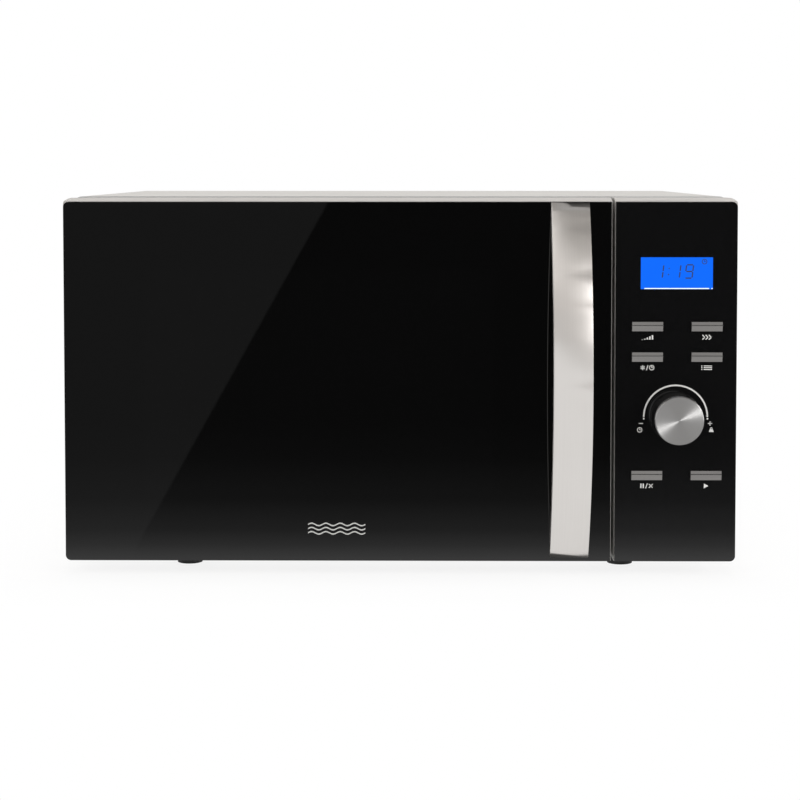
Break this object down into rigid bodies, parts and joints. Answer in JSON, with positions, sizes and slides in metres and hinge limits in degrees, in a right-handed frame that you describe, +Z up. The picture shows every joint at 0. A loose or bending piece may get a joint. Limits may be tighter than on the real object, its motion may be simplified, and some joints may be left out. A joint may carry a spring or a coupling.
{
  "type": "microwave oven",
  "caption": "Countertop microwave oven with a bowed full-height handle on a black glass door, a display, a turning dial and push buttons on a side control panel.",
  "frame": {"origin": "middle of the footprint, on the surface the feet stand on", "axes": "+X to the right as seen from the front, +Y to the rear, +Z up"},
  "size_m": [0.539, 0.45, 0.303],
  "materials": {
    "cabinet_paint": "satin silver-grey",
    "galvanised_sheet": "plain galvanised sheet",
    "cavity_enamel": "light grey enamel",
    "black_gloss_plastic": "gloss black",
    "frame_silver": "satin silver-grey plastic",
    "black_glass": "black tinted gloss",
    "window_glass": "clear pane",
    "plate_glass": "clear pressed glass",
    "choke_plastic": "satin",
    "handle_metal": "satin brushed",
    "button_metal": "satin brushed",
    "knob_metal": "spun face",
    "bright_steel": "machined",
    "foot_rubber": "matt",
    "black_plastic": "matt",
    "display_blue": "lit blue display pane",
    "white_plastic": "matt",
    "board": "green board",
    "copper_winding": "enamelled copper",
    "core_steel": "laminated steel",
    "mica": "mica sheet",
    "red_plastic": "matt",
    "lamp_glass": "lamp and holder"
  },
  "bodies": {
    "oven": {"base_plate": "galvanised_sheet", "outer_cover": "cabinet_paint", "rear_panel": "galvanised_sheet", "front_plate": "cavity_enamel", "cavity_liner": "cavity_enamel", "feet": "foot_rubber", "rear_spacers": "black_plastic", "case_screws": "bright_steel", "cord_gland": "black_plastic", "hinge_lower": "bright_steel", "hinge_upper": "bright_steel", "waveguide": "galvanised_sheet", "mica_cover": "mica", "magnetron_body": "galvanised_sheet", "magnetron_fins": "button_metal", "magnetron_antenna": "copper_winding", "transformer_core": "core_steel", "transformer_coils": "copper_winding", "hv_capacitor": "button_metal", "fan_shroud": "black_plastic", "fan_motor": "core_steel", "air_duct": "black_plastic", "turntable_motor": "galvanised_sheet", "oven_lamp": "lamp_glass", "thermal_cutouts": "white_plastic", "filter_board": "board", "interlock_bracket": "black_plastic", "interlock_switches": "red_plastic", "control_frame": "frame_silver", "control_fascia": "black_glass", "display_window": "display_blue", "display_module": "black_plastic", "control_board": "board", "tact_switches": "black_plastic", "encoder": "bright_steel"},
    "door": {"door_frame": "frame_silver", "door_glass": "black_glass", "door_panel": "galvanised_sheet", "door_inner_window": "window_glass", "door_choke_cover": "choke_plastic", "handle": "handle_metal", "handle_screws": "bright_steel"},
    "latch": {"latch_hooks": "white_plastic", "latch_spring": "bright_steel"},
    "turntable": {"turntable_plate": "plate_glass", "drive_coupler": "white_plastic"},
    "roller_ring_body": {"roller_ring": "white_plastic"},
    "roller_a": {"roller_1": "white_plastic"},
    "roller_b": {"roller_2": "white_plastic"},
    "roller_c": {"roller_3": "white_plastic"},
    "dial": {"knob": "black_gloss_plastic", "knob_cap": "knob_metal", "knob_shaft": "bright_steel"},
    "fan": {"fan_blades": "white_plastic"},
    "push_power": {"button_power": "button_metal"},
    "push_express": {"button_express": "button_metal"},
    "push_defrost": {"button_defrost": "button_metal"},
    "push_menu": {"button_menu": "button_metal"},
    "push_cancel": {"button_cancel": "button_metal"},
    "push_start": {"button_start": "button_metal"}
  },
  "joints": [
    {"name": "door_hinge", "type": "hinge", "parent": "oven", "child": "door", "pos_m": [-0.261, -0.1615, 0.15], "axis": [0, 0, -1], "range_deg": [0, 100]},
    {"name": "latch_slide", "type": "slide", "parent": "door", "child": "latch", "axis": [0, 0, 1], "range_m": [0, 0.005], "stiffness_N_per_m": 400, "springref_m": -0.003, "deforming": ["latch_spring"]},
    {"name": "turntable_spin", "type": "hinge", "parent": "oven", "child": "turntable", "pos_m": [-0.063, 0.0223, 0.047], "axis": [0, 0, 1], "continuous": true},
    {"name": "ring_spin", "type": "hinge", "parent": "oven", "child": "roller_ring_body", "pos_m": [-0.063, 0.0223, 0.0385], "axis": [0, 0, 1], "continuous": true},
    {"name": "knob_turn", "type": "hinge", "parent": "oven", "child": "dial", "pos_m": [0.2205, -0.185, 0.1272], "axis": [0, -1, 0], "continuous": true},
    {"name": "fan_spin", "type": "hinge", "parent": "oven", "child": "fan", "pos_m": [0.196, 0.188, 0.19], "axis": [0, 1, 0], "continuous": true},
    {"name": "roller_1_spin", "type": "hinge", "parent": "roller_ring_body", "child": "roller_a", "pos_m": [-0.063, 0.1243, 0.0385], "axis": [0, 1, 0], "continuous": true},
    {"name": "roller_2_spin", "type": "hinge", "parent": "roller_ring_body", "child": "roller_b", "pos_m": [-0.15133, -0.0287, 0.0385], "axis": [-0.866, -0.5, 0], "continuous": true},
    {"name": "roller_3_spin", "type": "hinge", "parent": "roller_ring_body", "child": "roller_c", "pos_m": [0.02533, -0.0287, 0.0385], "axis": [0.866, -0.5, 0], "continuous": true},
    {"name": "press_power", "type": "slide", "parent": "oven", "child": "push_power", "axis": [0, 1, 0], "range_m": [0, 0.0012], "stiffness_N_per_m": 400, "springref_m": -0.0005},
    {"name": "press_express", "type": "slide", "parent": "oven", "child": "push_express", "axis": [0, 1, 0], "range_m": [0, 0.0012], "stiffness_N_per_m": 400, "springref_m": -0.0005},
    {"name": "press_defrost", "type": "slide", "parent": "oven", "child": "push_defrost", "axis": [0, 1, 0], "range_m": [0, 0.0012], "stiffness_N_per_m": 400, "springref_m": -0.0005},
    {"name": "press_menu", "type": "slide", "parent": "oven", "child": "push_menu", "axis": [0, 1, 0], "range_m": [0, 0.0012], "stiffness_N_per_m": 400, "springref_m": -0.0005},
    {"name": "press_cancel", "type": "slide", "parent": "oven", "child": "push_cancel", "axis": [0, 1, 0], "range_m": [0, 0.0012], "stiffness_N_per_m": 400, "springref_m": -0.0005},
    {"name": "press_start", "type": "slide", "parent": "oven", "child": "push_start", "axis": [0, 1, 0], "range_m": [0, 0.0012], "stiffness_N_per_m": 400, "springref_m": -0.0005}
  ],
  "couplings": [
    {"joint": "ring_spin", "follows": "turntable_spin", "ratio": 0.5},
    {"joint": "roller_1_spin", "follows": "turntable_spin", "ratio": -6},
    {"joint": "roller_2_spin", "follows": "turntable_spin", "ratio": -6},
    {"joint": "roller_3_spin", "follows": "turntable_spin", "ratio": -6}
  ]
}
